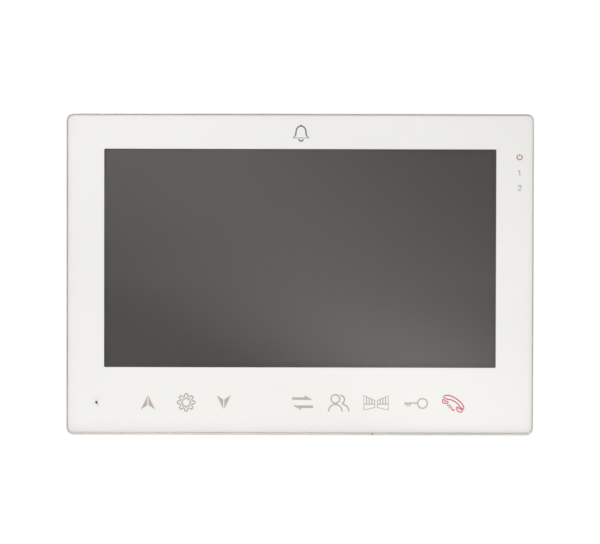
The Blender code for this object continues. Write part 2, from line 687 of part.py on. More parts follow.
def main_board():
    """Circuit board on the rear housing's posts, with a tab that carries the memory card socket."""
    width = BOARD_RIGHT - BOARD_LEFT
    height = BOARD_TOP - BOARD_BOTTOM
    centre_x = (BOARD_RIGHT + BOARD_LEFT) / 2
    centre_z = (BOARD_TOP + BOARD_BOTTOM) / 2
    board = slab("main_board", width, height, BOARD_FRONT, BOARD_BACK, centre_x, centre_z, BOARD, 2 * MM)
    tab = slab("board_tab", 12 * MM, 16 * MM, BOARD_FRONT, BOARD_BACK, 82.6 * MM, CARD_Z, corner=MM)
    holes = rods("board_holes", 1.7 * MM, BOARD_FRONT - MM, BOARD_BACK + MM, BOARD_SCREWS)
    combine(board, "UNION", tab)
    return combine(board, "DIFFERENCE", holes)


def board_parts():
    """What stands on the wall side of the main board."""
    foot = BOARD_BACK + 0.1 * MM

    def package(name, width, height, tall, x, z, look):
        slab(name, width, height, foot, foot + tall, x, z, look, 0.3 * MM, 1)

    package("processor", 16 * MM, 16 * MM, 1.4 * MM, 8 * MM, 13 * MM, CHIP)
    package("video_decoder", 12 * MM, 12 * MM, 1.2 * MM, -16 * MM, 12 * MM, CHIP)
    package("audio_amplifier", 8 * MM, 5 * MM, 1.5 * MM, -22 * MM, -36 * MM, CHIP)
    package("line_relay_1", 15 * MM, 7.5 * MM, 5.6 * MM, 59 * MM, 15 * MM, CONNECTOR)
    package("line_relay_2", 15 * MM, 7.5 * MM, 5.6 * MM, 59 * MM, 4 * MM, CONNECTOR)
    package("power_inductor", 8 * MM, 8 * MM, 4 * MM, 57 * MM, -10 * MM, CHIP)
    for number, z in ((1, 12 * MM), (2, 1 * MM)):
        turned(f"electrolytic_capacitor_{number}", [
            (0.0, foot), (4.0 * MM, foot), (4.0 * MM, foot + 0.9 * MM), (3.7 * MM, foot + 1.3 * MM),
            (4.0 * MM, foot + 1.7 * MM), (4.0 * MM, foot + 5.8 * MM), (3.6 * MM, foot + 6.2 * MM),
            (0.0, foot + 6.2 * MM),
        ], (75 * MM, 0.0, z), STEEL, 20)


def coin_cell():
    """Clock battery lying in its holder."""
    x, z = 66 * MM, -36 * MM
    foot = BOARD_BACK + 0.1 * MM
    holder = slab("coin_cell_holder", 22.4 * MM, 16 * MM, foot, foot + 4.4 * MM, x, z, BLACK, MM)
    well = rods("cell_well", 10.3 * MM, foot + 0.9 * MM, foot + 6 * MM, [(x, z)], sides=28)
    combine(holder, "DIFFERENCE", well)
    turned("coin_cell", [
        (0.0, foot + 1.1 * MM), (9.6 * MM, foot + 1.1 * MM), (10.0 * MM, foot + 1.5 * MM),
        (10.0 * MM, foot + 4.0 * MM), (9.7 * MM, foot + 4.2 * MM), (0.0, foot + 4.2 * MM),
    ], (x, 0.0, z), STEEL, 28)


def memory_card():
    """Card socket at the board's edge, and the card that slides out of the side wall."""
    length, thickness, width = CARD_SIZE
    inner_end = CARD_OUTER_END - length
    socket_left = inner_end - 1.4 * MM
    socket_right = 88.6 * MM
    socket_size = (socket_right - socket_left, 1.75 * MM, width + 3.2 * MM)
    socket_x = (socket_left + socket_right) / 2
    socket_y = BOARD_BACK + 0.1 * MM + socket_size[1] / 2
    socket = block("memory_card_socket", socket_size, (socket_x, socket_y, CARD_Z), STEEL)
    channel_size = (20 * MM, thickness + 0.3 * MM, width + 0.5 * MM)
    channel_x = inner_end - MM + channel_size[0] / 2
    channel = block("card_channel", channel_size, (channel_x, CARD_Y, CARD_Z))
    combine(socket, "DIFFERENCE", channel)
    card_x = CARD_OUTER_END - length / 2
    card = block("memory_card", CARD_SIZE, (card_x, CARD_Y, CARD_Z), BLACK, 0.5 * MM, 2)
    step_place = (inner_end + 2.2 * MM, CARD_Y, CARD_Z + width / 2)
    side_step = block("card_side_step", (6 * MM, 3 * thickness, 1.3 * MM), step_place)
    combine(card, "DIFFERENCE", side_step)


def switches():
    """Power slide switch and reset switch, both worked from the underside."""
    body_bottom = -57.3 * MM
    body_size = (10 * MM, 3.6 * MM, 5 * MM)
    body_z = body_bottom + body_size[2] / 2
    block("power_switch_body", body_size, (POWER_SWITCH_X, POWER_SWITCH_Y, body_z), CHIP)
    nib_bottom = -62.4 * MM
    nib_top = body_bottom - 0.1 * MM
    nib_size = (1.8 * MM, 1.8 * MM, nib_top - nib_bottom)
    rest_x = POWER_SWITCH_X - SWITCH_TRAVEL / 2
    rest_place = (rest_x, POWER_SWITCH_Y, (nib_top + nib_bottom) / 2)
    slider = block("power_switch_slider", nib_size, rest_place, BLACK)
    foot_size = (4.4 * MM, 2.4 * MM, 0.8 * MM)
    foot = block("slider_foot", foot_size, (rest_x, POWER_SWITCH_Y, nib_top - foot_size[2] / 2))
    combine(slider, "UNION", foot)
    reset_bottom = -57.0 * MM
    reset_size = (6 * MM, 3.4 * MM, 4 * MM)
    reset_y = BOARD_FRONT - 0.2 * MM - reset_size[1] / 2
    reset_place = (RESET_X, reset_y, reset_bottom + reset_size[2] / 2)
    reset_body = block("reset_switch_body", reset_size, reset_place, CHIP)
    plunger_bottom = -58.6 * MM
    plunger_top = reset_bottom + 0.6 * MM
    pocket_top = plunger_top + RESET_TRAVEL + 0.2 * MM
    pocket_size = (2.2 * MM, 1.7 * MM, pocket_top - reset_bottom + MM)
    pocket_z = (pocket_top + reset_bottom - MM) / 2
    pocket = block("reset_pocket", pocket_size, (RESET_X, RESET_Y, pocket_z))
    combine(reset_body, "DIFFERENCE", pocket)
    block("reset_plunger", (1.8 * MM, 1.3 * MM, plunger_top - plunger_bottom),
          (RESET_X, RESET_Y, (plunger_top + plunger_bottom) / 2), WHITE_BOARD)


# Wiring and screws --------------------------------------------------------------------------
def wiring():
    """The leads and flex cables that stay inside the casing."""
    lead("speaker_cable", in_mm([
        (-54.0, -9.4, -24.5), (-50.5, -10.4, -24.0), (-44.0, -11.2, -26.0),
        (-39.5, -11.0, -33.0), (-37.0, -10.4, -40.0), (-35.2, -10.6, -44.0),
    ]), 0.8 * MM, LEAD)
    lead("microphone_cable", in_mm([
        (-80.0, -14.6, -50.4), (-78.5, -13.4, -52.0), (-72.0, -12.6, -55.5), (-60.0, -12.2, -56.5),
        (-48.0, -11.8, -55.0), (-40.0, -11.0, -52.0), (-35.2, -10.6, -50.0),
    ]), 0.7 * MM, LEAD)
    ribbon("lcd_flex_cable", in_mm([
        (-13.2, -43.0), (-12.7, -45.6), (-12.2, -46.6), (-11.8, -44.6), (-11.75, -38.0),
    ]), 8 * MM, 26 * MM, 0.25 * MM, FLEX)
    ribbon("touch_key_cable", in_mm([
        (-18.3, -55.5), (-17.4, -55.4), (-15.2, -54.4), (-12.6, -53.2), (-11.8, -51.8),
        (-11.75, -50.0),
    ]), 12 * MM, 9 * MM, 0.25 * MM, FLEX)


def pan_screw(name, x, z, seat, head_radius, head_height, shank_radius, length, facing):
    """A pan-head screw along Y. Facing is 1 when its head looks to the wall, and -1 to the front."""
    head_top = seat + facing * head_height
    tip = seat - facing * length
    outline = [
        (0.0, head_top), (head_radius * 0.7, head_top), (head_radius, seat + facing * head_height * 0.45),
        (head_radius, seat), (shank_radius, seat), (shank_radius, tip + facing * MM), (0.0, tip),
    ]
    return turned(name, outline if facing < 0 else outline[::-1], (x, 0.0, z), STEEL, 14)


def screws():
    """Four screws that close the casing from behind, and four that hold the main board."""
    for number, (x, z) in enumerate(HOUSING_SCREWS, 1):
        seat = SCREW_SEAT + 0.1 * MM
        pan_screw(f"housing_screw_{number}", x, z, seat, 2.4 * MM, 1.4 * MM, 1.15 * MM, 13 * MM, 1)
    for number, (x, z) in enumerate(BOARD_SCREWS, 1):
        seat = BOARD_FRONT - 0.1 * MM
        pan_screw(f"board_screw_{number}", x, z, seat, 2.6 * MM, 1.2 * MM, 1.0 * MM, 6 * MM, -1)


wall_plate()
front_glass()
printed_mask()
trim_frame()
front_housing()
rear_housing()
display()
touch_keys()
indicators()
microphone()
speaker()
main_board()
header("door_1_connector", 4, -19.5 * MM)
header("door_2_connector", 4, -4.5 * MM)
header("link_connector", 4, 10.5 * MM)
header("power_connector", 2, 22.8 * MM)
board_parts()
coin_cell()
memory_card()
switches()
wiring()
screws()

for part in PARTS.objects:
    if part.type == "MESH":
        part.data.shade_smooth()
        part.data.set_sharp_from_angle(angle=math.radians(30))
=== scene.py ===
"""Looks for the seven-inch video intercom monitor: its surfaces, printed symbols, studio and camera.

Everything is in metres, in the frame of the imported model: +X to the user's right, +Z up, the glass front
facing -Y, and the wall at y = 0.
"""

import json
import math

import bmesh
import bpy
from mathutils import Matrix, Vector


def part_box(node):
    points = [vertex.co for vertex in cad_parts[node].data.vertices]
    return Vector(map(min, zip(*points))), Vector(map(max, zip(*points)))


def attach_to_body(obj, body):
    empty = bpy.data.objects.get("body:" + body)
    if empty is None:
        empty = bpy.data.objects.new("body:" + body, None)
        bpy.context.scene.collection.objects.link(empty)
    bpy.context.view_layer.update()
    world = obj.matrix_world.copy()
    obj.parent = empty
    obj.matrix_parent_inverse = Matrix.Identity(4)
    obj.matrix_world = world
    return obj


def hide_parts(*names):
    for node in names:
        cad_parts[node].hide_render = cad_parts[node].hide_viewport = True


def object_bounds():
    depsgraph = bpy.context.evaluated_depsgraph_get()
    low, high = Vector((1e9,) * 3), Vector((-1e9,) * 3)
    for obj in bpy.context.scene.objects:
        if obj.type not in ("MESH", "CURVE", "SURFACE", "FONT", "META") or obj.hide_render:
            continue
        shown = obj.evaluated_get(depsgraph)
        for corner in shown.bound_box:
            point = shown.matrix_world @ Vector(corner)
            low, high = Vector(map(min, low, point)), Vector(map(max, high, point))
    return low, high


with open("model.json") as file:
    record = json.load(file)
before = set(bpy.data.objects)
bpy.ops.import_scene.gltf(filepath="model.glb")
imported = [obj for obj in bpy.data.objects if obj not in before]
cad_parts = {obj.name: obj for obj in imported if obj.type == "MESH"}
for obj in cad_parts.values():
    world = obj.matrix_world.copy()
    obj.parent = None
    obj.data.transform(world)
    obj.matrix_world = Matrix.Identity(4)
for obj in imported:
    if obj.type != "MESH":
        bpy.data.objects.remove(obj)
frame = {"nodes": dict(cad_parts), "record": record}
CAD_LOW, CAD_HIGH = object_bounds()
MM = 0.001

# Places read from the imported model.
TRIM_LOW, TRIM_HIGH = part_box("trim_frame")
GLASS_LOW, GLASS_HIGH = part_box("front_glass")
MASK_LOW, MASK_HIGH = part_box("printed_mask")
CELL_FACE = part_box("lcd_cell")[0].y
GASKET_LOW, GASKET_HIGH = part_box("display_gasket")
LAMP_LOW, LAMP_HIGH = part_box("indicator_board")
BOOT_LOW, BOOT_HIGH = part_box("microphone_boot")
RESET_LOW, RESET_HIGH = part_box("reset_plunger")

# The glass, and the trim ring around it.
GLASS_W, GLASS_H = GLASS_HIGH.x - GLASS_LOW.x, GLASS_HIGH.z - GLASS_LOW.z
GLASS_Z = (GLASS_HIGH.z + GLASS_LOW.z) / 2
GLASS_CORNER = 2.2 * MM
POCKET_CORNER = 2.25 * MM
POCKET_GAP = 0.19 * MM

# The small blind hole in the trim's lower lip, in line with the reset plunger.
HOLE_W, HOLE_H = 0.8 * MM, 0.55 * MM
HOLE_X = (RESET_LOW.x + RESET_HIGH.x) / 2
HOLE_Z = (TRIM_LOW.z + GLASS_LOW.z) / 2

# The display window, which is a little inside the gasket.
GASKET_FACE = 2.5 * MM
WINDOW_W = GASKET_HIGH.x - GASKET_LOW.x - 2 * GASKET_FACE
WINDOW_H = GASKET_HIGH.z - GASKET_LOW.z - 2 * GASKET_FACE
WINDOW_Z = (GASKET_HIGH.z + GASKET_LOW.z) / 2
WINDOW_CORNER = 0.4 * MM

# The microphone's pinhole, which is level with the touch symbols.
MICROPHONE_X = (BOOT_LOW.x + BOOT_HIGH.x) / 2
KEY_Z = (BOOT_LOW.z + BOOT_HIGH.z) / 2

# Printed symbols.
PRINT_Y = (GLASS_HIGH.y + MASK_LOW.y) / 2
PRINT_THICKNESS = 0.03 * MM
KEY_X = {
    "up": -59.75 * MM, "gear": -44.7 * MM, "down": -29.9 * MM, "swap": 1.15 * MM,
    "people": 15.2 * MM, "gate": 30.05 * MM, "key": 45.5 * MM, "handset": 60.65 * MM,
}
BELL_X, BELL_Z = 0.25 * MM, 55.6 * MM
LAMP_X = (LAMP_LOW.x + LAMP_HIGH.x) / 2 - 0.25 * MM
LAMP_PITCH = 6.0 * MM
MIDDLE_LAMP_Z = (LAMP_LOW.z + LAMP_HIGH.z) / 2


# Nodes --------------------------------------------------------------------------------------
def attach(tree, value, socket):
    """Links an output to a socket, or sets the socket's value."""
    if isinstance(value, bpy.types.NodeSocket):
        tree.links.new(value, socket)
    else:
        socket.default_value = value


def operate(tree, kind, operation, *values):
    """A new math node, with its inputs linked or set."""
    made = tree.nodes.new(kind)
    made.operation = operation
    for value, socket in zip(values, made.inputs):
        attach(tree, value, socket)
    return made


def mixed(tree, factor, first, second):
    """Two shaders mixed by an output between 0 and 1."""
    mix = tree.nodes.new("ShaderNodeMixShader")
    for value, socket in zip((factor, first, second), mix.inputs):
        tree.links.new(value, socket)
    return mix.outputs[0]


def value_range(tree, value, start, end, low, high):
    """A node that carries a value from start..end to low..high."""
    made = tree.nodes.new("ShaderNodeMapRange")
    sockets = ("Value", "From Min", "From Max", "To Min", "To Max")
    for socket, given in zip(sockets, (value, start, end, low, high)):
        attach(tree, given, made.inputs[socket])
    return made


# Materials ----------------------------------------------------------------------------------
class Look:
    """A Principled material with short ways to add procedural detail."""

    def __init__(self, name, colour, roughness, metallic=0.0, **sockets):
        self.material = bpy.data.materials.new(name)
        self.material.use_nodes = True
        self.tree = self.material.node_tree
        self.shader = self.tree.nodes["Principled BSDF"]
        self.output = self.tree.nodes["Material Output"]
        self.shader.inputs["Base Color"].default_value = (*colour, 1.0)
        self.shader.inputs["Roughness"].default_value = roughness
        self.shader.inputs["Metallic"].default_value = metallic
        for socket, value in sockets.items():
            self.shader.inputs[socket.replace("_", " ")].default_value = value
        self.coordinates = self.tree.nodes.new("ShaderNodeTexCoord").outputs["Object"]

    def add(self, kind, **inputs):
        """A new node, with its inputs linked or set."""
        made = self.tree.nodes.new(kind)
        for name, value in inputs.items():
            attach(self.tree, value, made.inputs[name.replace("_", " ")])
        return made

    def stretched(self, scale):
        """Object coordinates multiplied along each axis."""
        mapping = self.add("ShaderNodeMapping", Vector=self.coordinates)
        mapping.inputs["Scale"].default_value = scale
        return mapping.outputs["Vector"]

    def noise(self, size, detail=3.0, stretch=(1.0, 1.0, 1.0)):
        """Noise whose features are about that size, in metres."""
        where = self.stretched([s / size for s in stretch])
        return self.add("ShaderNodeTexNoise", Vector=where, Scale=1.0, Detail=detail).outputs["Fac"]

    def cells(self, size, output="Distance"):
        """Voronoi cells about that size, in metres."""
        where = self.stretched([1 / size] * 3)
        return self.add("ShaderNodeTexVoronoi", Vector=where, Scale=1.0).outputs[output]

    def ranged(self, value, low, high, start=0.3, end=0.7):
        """A value carried from start..end to low..high."""
        return value_range(self.tree, value, start, end, low, high).outputs["Result"]

    def roughen(self, value, low, high):
        """Varies the roughness."""
        self.tree.links.new(self.ranged(value, low, high), self.shader.inputs["Roughness"])

    def tint(self, value, first, second, start=0.3, end=0.7):
        """Varies the colour between two."""
        mix = self.tree.nodes.new("ShaderNodeMix")
        mix.data_type = "RGBA"
        self.tree.links.new(self.ranged(value, 0.0, 1.0, start, end), mix.inputs[0])
        mix.inputs[6].default_value = (*first, 1.0)
        mix.inputs[7].default_value = (*second, 1.0)
        self.tree.links.new(mix.outputs[2], self.shader.inputs["Base Color"])

    def bump(self, height, depth):
        """Relief of that depth in metres."""
        made = self.add("ShaderNodeBump", Height=height, Distance=depth, Strength=1.0)
        self.tree.links.new(made.outputs["Normal"], self.shader.inputs["Normal"])


def shade(colour, factor):
    """A colour made darker or lighter."""
    return tuple(min(c * factor, 1.0) for c in colour)


def clear_glass():
    """Clear float glass. Light passes straight through it, so that what lies behind is lit evenly."""
    look = Look("clear_panel", (0.99, 0.992, 0.985), 0.0, IOR=1.5, Transmission_Weight=1.0)
    look.roughen(look.noise(30 * MM), 0.0, 0.012)
    ray = look.add("ShaderNodeLightPath")
    clear = look.tree.nodes.new("ShaderNodeBsdfTransparent")
    surface = look.shader.outputs[0]
    for kind in ("Is Shadow Ray", "Is Diffuse Ray"):
        surface = mixed(look.tree, ray.outputs[kind], surface, clear.outputs[0])
    look.tree.links.new(surface, look.output.inputs["Surface"])
    return look.material


def ink(name, colour):
    """Screen-printed ink, a little uneven in tone."""
    look = Look(name, colour, 0.45)
    look.tint(look.noise(0.6 * MM), shade(colour, 0.96), shade(colour, 1.04))
    return look.material


def printed_white():
    """Opaque white print on the back of the glass."""
    white = (0.92, 0.922, 0.905)
    look = Look("white_print", white, 0.4)
    look.tint(look.noise(60 * MM, 2.0), shade(white, 0.99), shade(white, 1.01))
    look.bump(look.noise(0.25 * MM), 0.002 * MM)
    return look.material


def moulded(name, colour, roughness, grain=0.35 * MM, depth=0.012 * MM):
    """Injection-moulded plastic with a fine spark-eroded texture and faint flow marks."""
    look = Look(name, colour, roughness)
    look.tint(look.noise(45 * MM, 2.0), shade(colour, 0.97), shade(colour, 1.02))
    look.roughen(look.noise(8 * MM), roughness - 0.05, roughness + 0.06)
    look.bump(look.noise(grain, 2.0), depth)
    return look.material


def satin_trim():
    """Satin plated plastic ring, a little uneven in tone and gloss."""
    colour = (0.86, 0.80, 0.775)
    look = Look("satin_trim", colour, 0.32, 0.8)
    look.tint(look.noise(14 * MM), shade(colour, 0.96), shade(colour, 1.04))
    look.roughen(look.noise(4 * MM, 2.0), 0.3, 0.35)
    return look.material


def zinc_steel():
    """Galvanised sheet: soft spangle in tone and gloss, and fine rolling lines."""
    colour = (0.56, 0.57, 0.58)
    look = Look("zinc_plated_steel", colour, 0.34, 1.0)
    spangle = look.cells(7 * MM, output="Color")
    look.tint(spangle, shade(colour, 0.86), shade(colour, 1.1), 0.1, 0.9)
    look.roughen(spangle, 0.28, 0.44)
    look.bump(look.noise(0.5 * MM, 3.0, (0.06, 1.0, 1.0)), 0.006 * MM)
    return look.material


def bright_metal(name, colour, roughness=0.25):
    """Turned or drawn metal with fine lines."""
    look = Look(name, colour, roughness, 1.0)
    look.tint(look.noise(3 * MM), shade(colour, 0.9), shade(colour, 1.06))
    look.roughen(look.noise(0.3 * MM, 2.0, (1.0, 5.0, 1.0)), roughness - 0.06, roughness + 0.1)
    return look.material


def soft_rubber(name, colour):
    """Foam or rubber with open pores."""
    look = Look(name, colour, 0.85)
    look.tint(look.noise(1.5 * MM), shade(colour, 0.8), shade(colour, 1.3))
    look.bump(look.cells(0.35 * MM), 0.03 * MM)
    return look.material


def display_surface():
    """The unlit display: a dark polariser with a fine anti-glare finish."""
    colour = (0.034, 0.0292, 0.0275)
    look = Look("lcd_surface", colour, 0.25, IOR=1.5)
    look.tint(look.noise(90 * MM, 1.0), shade(colour, 0.95), shade(colour, 1.05))
    look.roughen(look.noise(25 * MM, 2.0), 0.24, 0.27)
    return look.material


def solder_mask(name, colour, copper):
    """Circuit board: solder mask over tracks, with rows of bright pads."""
    look = Look(name, colour, 0.32)
    where = look.stretched((1 / (5.2 * MM), 1.0, 1 / (1.3 * MM)))
    bricks = look.add("ShaderNodeTexBrick", Vector=where, Scale=1.0, Mortar_Size=0.06, Mortar_Smooth=0.1)
    tracks = look.ranged(bricks.outputs["Fac"], 0.0, 1.0, 0.0, 1.0)
    areas = look.ranged(look.noise(13 * MM, 1.0), 0.0, 1.0, 0.44, 0.5)
    shown = operate(look.tree, "ShaderNodeMath", "MULTIPLY", tracks, areas).outputs[0]
    look.tint(shown, colour, copper, 0.0, 1.0)
    look.bump(shown, 0.03 * MM)
    look.roughen(look.noise(2 * MM), 0.26, 0.4)
    return look.material


def resin(name, colour):
    """Tinted resin round a lamp's chip."""
    look = Look(name, colour, 0.18, Coat_Weight=0.5, Coat_Roughness=0.08)
    look.tint(look.noise(0.4 * MM), shade(colour, 0.9), shade(colour, 1.1))
    return look.material


def flex_film():
    """Amber polyimide with its conductors showing as fine stripes along it."""
    look = Look("flex_cable", (0.55, 0.29, 0.06), 0.3, Coat_Weight=0.4, Coat_Roughness=0.15)
    wave = look.add("ShaderNodeTexWave", Vector=look.stretched((1 / (3.2 * MM), 0.0, 0.0)), Scale=1.0)
    stripes = wave.outputs["Fac"]
    look.tint(stripes, (0.50, 0.22, 0.03), (0.66, 0.38, 0.10), 0.35, 0.65)
    look.bump(stripes, 0.02 * MM)
    return look.material


def woven_cloth():
    """Acoustic cloth behind the speaker's slots."""
    look = Look("acoustic_cloth", (0.025, 0.025, 0.027), 0.9)
    pitch = 1.5 * MM
    across = look.add("ShaderNodeTexWave", Vector=look.stretched((1 / pitch, 0.0, 0.0)), Scale=1.0)
    along = look.add("ShaderNodeTexWave", Vector=look.stretched((0.0, 0.0, 1 / pitch)), Scale=1.0)
    along.bands_direction = "Z"
    threads = (across.outputs["Fac"], along.outputs["Fac"])
    weave = operate(look.tree, "ShaderNodeMath", "MAXIMUM", *threads).outputs[0]
    look.tint(weave, (0.012, 0.012, 0.013), (0.05, 0.05, 0.053), 0.4, 1.0)
    look.bump(weave, 0.05 * MM)
    return look.material


GLASS = clear_glass()
PRINT = printed_white()
TRIM = satin_trim()
CASING = moulded("white_casing", (0.80, 0.80, 0.78), 0.42)
STEEL = zinc_steel()
SCREEN = display_surface()
BLACK_BORDER = moulded("display_border", (0.012, 0.012, 0.012), 0.5, 0.2 * MM, 0.003 * MM)
BLACK = moulded("black_plastic", (0.02, 0.02, 0.022), 0.4)
RUBBER = soft_rubber("black_rubber", (0.03, 0.03, 0.032))
REFLECTOR = moulded("light_guide", (0.85, 0.85, 0.83), 0.45, 0.8 * MM, 0.01 * MM)
GREEN_BOARD = solder_mask("circuit_board", (0.012, 0.105, 0.045), (0.04, 0.24, 0.10))
PALE_BOARD = solder_mask("white_board", (0.72, 0.73, 0.72), (0.60, 0.62, 0.60))
PACKAGE = moulded("chip_package", (0.022, 0.022, 0.025), 0.5, 0.25 * MM, 0.02 * MM)
NYLON = moulded("nylon_connector", (0.80, 0.77, 0.68), 0.42, 0.5 * MM, 0.008 * MM)
FLEX = flex_film()
RED_LAMP = resin("red_led", (0.62, 0.05, 0.06))
WHITE_LAMP = resin("white_led", (0.80, 0.80, 0.74))
SHEATH = moulded("cable_sheath", (0.045, 0.045, 0.05), 0.45, 0.6 * MM, 0.01 * MM)
CAN = bright_metal("aluminium_can", (0.74, 0.75, 0.76))
TINNED = bright_metal("tinned_contact", (0.72, 0.70, 0.64), 0.22)
SCREW_STEEL = bright_metal("screw_steel", (0.52, 0.52, 0.54), 0.28)
# Dark grey adhesive, also used as painted shade: in the gap between the glass and the trim, and inside the
# trim's small hole.
BOND_AND_PAINTED_SHADE = soft_rubber("adhesive_and_painted_shade", (0.30, 0.275, 0.26))
CLOTH = woven_cloth()
BEIGE_INK = ink("beige_ink", (0.50, 0.445, 0.395))
RED_INK = ink("red_ink", (0.58, 0.04, 0.10))
GREY_INK = ink("grey_ink", (0.26, 0.26, 0.245))
POWER_INK = ink("power_ink", (0.46, 0.13, 0.17))
DARK_INK = ink("dark_ink", (0.135, 0.13, 0.15))

CAD_LOOKS = {
    "clear_panel": GLASS,
    "white_print": PRINT,
    "satin_trim": TRIM,
    "white_casing": CASING,
    "zinc_plated_steel": STEEL,
    "lcd_surface": SCREEN,
    "black_plastic": BLACK,
    "black_rubber": RUBBER,
    "light_guide": REFLECTOR,
    "circuit_board": GREEN_BOARD,
    "white_board": PALE_BOARD,
    "chip_package": PACKAGE,
    "nylon_connector": NYLON,
    "flex_cable": FLEX,
    "red_led": RED_LAMP,
    "white_led": WHITE_LAMP,
    "cable_sheath": SHEATH,
    "aluminium_can": CAN,
}


SOFT_EDGES = {
    "front_housing": 0.22 * MM, "rear_housing": 0.28 * MM, "wall_plate": 0.22 * MM, "main_board": 0.1 * MM,
    "power_connector": 0.12 * MM, "door_1_connector": 0.12 * MM, "door_2_connector": 0.12 * MM,
    "link_connector": 0.12 * MM, "memory_card": 0.1 * MM, "memory_card_socket": 0.1 * MM,
    "power_switch_slider": 0.12 * MM, "coin_cell_holder": 0.2 * MM, "line_relay_1": 0.25 * MM,
    "line_relay_2": 0.25 * MM, "power_inductor": 0.4 * MM,
}


def dress_cad_nodes():
    """Gives each CAD node its procedural material and softens the edges of what shows."""
    slots = {part["node"]: part["material_slot"] for part in frame["record"]["subparts"]}
    for name, node in frame["nodes"].items():
        node.data.materials.clear()
        node.data.materials.append(CAD_LOOKS[slots[name]])
        if name in SOFT_EDGES:
            soften(node, SOFT_EDGES[name])


def soften(piece, width):
    """Rounds every real edge of a faceted solid."""
    weld = piece.modifiers.new("weld", "WELD")
    weld.merge_threshold = 0.002 * MM
    flatten = piece.modifiers.new("flatten", "DECIMATE")
    flatten.decimate_type = "DISSOLVE"
    flatten.angle_limit = math.radians(0.5)
    bevel = piece.modifiers.new("edges", "BEVEL")
    bevel.width = width
    bevel.segments = 2
    bevel.limit_method = "ANGLE"
    bevel.angle_limit = math.radians(35)
    bevel.harden_normals = True


# Shape makers -------------------------------------------------------------------------------
def linked(name, data):
    """A new object in the scene."""
    made = bpy.data.objects.new(name, data)
    bpy.context.scene.collection.objects.link(made)
    return made


def mesh_from(shape, name):
    """A mesh made from a bmesh, which it uses up."""
    mesh = bpy.data.meshes.new(name)
    shape.to_mesh(mesh)
    shape.free()
    return mesh


def finish_piece(name, mesh, look):
    """Links a mesh as a piece of the monitor."""
    made = linked(name, mesh)
    mesh.materials.append(look)
    mesh.shade_smooth()
    mesh.set_sharp_from_angle(angle=math.radians(28))
    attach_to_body(made, "monitor")
    return made


def rounded_loop(width, height, corner, y, z=0.0):
    """Points round a rectangle with round corners, in a plane of constant y."""
    steps = 10
    found = []
    for turn, (sx, sz) in enumerate(((1, 1), (-1, 1), (-1, -1), (1, -1))):
        centre = Vector((sx * (width / 2 - corner), y, z + sz * (height / 2 - corner)))
        for step in range(steps + 1):
            angle = math.radians(90 * (turn + step / steps))
            found.append(centre + corner * Vector((math.cos(angle), 0.0, math.sin(angle))))
    return found


def loft(name, loops, look, closed):
    """A surface through loops of equal length: a ring if closed, or else capped at both ends."""
    shape = bmesh.new()
    rows = [[shape.verts.new(point) for point in loop] for loop in loops]
    pairs = list(zip(rows, rows[1:]))
    if closed:
        pairs.append((rows[-1], rows[0]))
    for first, second in pairs:
        for i, corner in enumerate(first):
            after = (i + 1) % len(first)
            shape.faces.new((corner, first[after], second[after], second[i]))
    if not closed:
        shape.faces.new(rows[0])
        shape.faces.new(rows[-1])
    bmesh.ops.recalc_face_normals(shape, faces=shape.faces)
    return finish_piece(name, mesh_from(shape, name), look)


def circle(radius, centre, steps=28):
    """Points round a circle in a plane of constant y."""
    angles = [2 * math.pi * step / steps for step in range(steps)]
    return [Vector(centre) + radius * Vector((math.cos(a), 0.0, math.sin(a))) for a in angles]


def quarter_round(radius, steps):
    """(inset, depth) pairs from (0, radius) to (radius, 0), round a quarter of a circle."""
    angles = [math.pi / 2 * step / steps for step in range(steps + 1)]
    return [(radius * (1 - math.cos(a)), radius * (1 - math.sin(a))) for a in angles]


def cut_away(target, name, shape):
    """Cuts a closed bmesh from a piece for good."""
    cutter = linked(name, mesh_from(shape, name))
    boolean = target.modifiers.new(name, "BOOLEAN")
    boolean.operation = "DIFFERENCE"
    boolean.object = cutter
    bpy.context.view_layer.update()
    evaluated = target.evaluated_get(bpy.context.evaluated_depsgraph_get())
    cut = bpy.data.meshes.new_from_object(evaluated)
    target.modifiers.remove(boolean)
    target.data = cut
    bpy.data.objects.remove(cutter)


def cut_box(target, name, size, centre, turn=0.0):
    """Cuts a box, turned by some degrees about Y, from a piece."""
    shape = bmesh.new()
    place = Matrix.Translation(centre) @ Matrix.Rotation(math.radians(turn), 4, "Y")
    bmesh.ops.create_cube(shape, size=1.0, matrix=place @ Matrix.Diagonal((*size, 1.0)))
    cut_away(target, name, shape)


def cut_pinhole(target, name, radius):
    """Drills a hole through a piece at the microphone."""
    shape = bmesh.new()
    place = Matrix.Translation((MICROPHONE_X, GLASS_LOW.y, KEY_Z)) @ Matrix.Rotation(math.pi / 2, 4, "X")
    bmesh.ops.create_cone(shape, cap_ends=True, segments=32, radius1=radius, radius2=radius, depth=12 * MM,
                          matrix=place)
    cut_away(target, name, shape)


# Front --------------------------------------------------------------------------------------
def within_glass(inset, y):
    """A loop that far inside the glass's outline."""
    corner = max(GLASS_CORNER - inset, 0.3 * MM)
    return rounded_loop(GLASS_W - 2 * inset, GLASS_H - 2 * inset, corner, y, GLASS_Z)


def around_glass(outset, y):
    """A loop that far outside the glass's outline."""
    return rounded_loop(GLASS_W + 2 * outset, GLASS_H + 2 * outset, POCKET_CORNER + outset, y, GLASS_Z)


def glass_panel():
    """The glass with its ground edge and the microphone's pinhole.

    The white print is in optical contact, so its face lies just inside the glass.
    """
    chamfer_width, chamfer_depth = 1.05 * MM, 0.4 * MM
    contact = 0.05 * MM
    soft = 0.08 * MM
    edge_soft = 0.03 * MM
    front, back = GLASS_LOW.y, MASK_LOW.y + contact
    foot = front + chamfer_depth
    glass = loft("glass_panel", [
        within_glass(soft, back), within_glass(0.0, back - soft),
        within_glass(0.0, foot + soft), within_glass(soft, foot - edge_soft),
        within_glass(chamfer_width, front), within_glass(chamfer_width + 2 * soft, front),
    ], GLASS, closed=False)
    glass.data.set_sharp_from_angle(angle=math.radians(12))
    cut_pinhole(glass, "glass_drill", 0.4 * MM)
    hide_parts("front_glass")


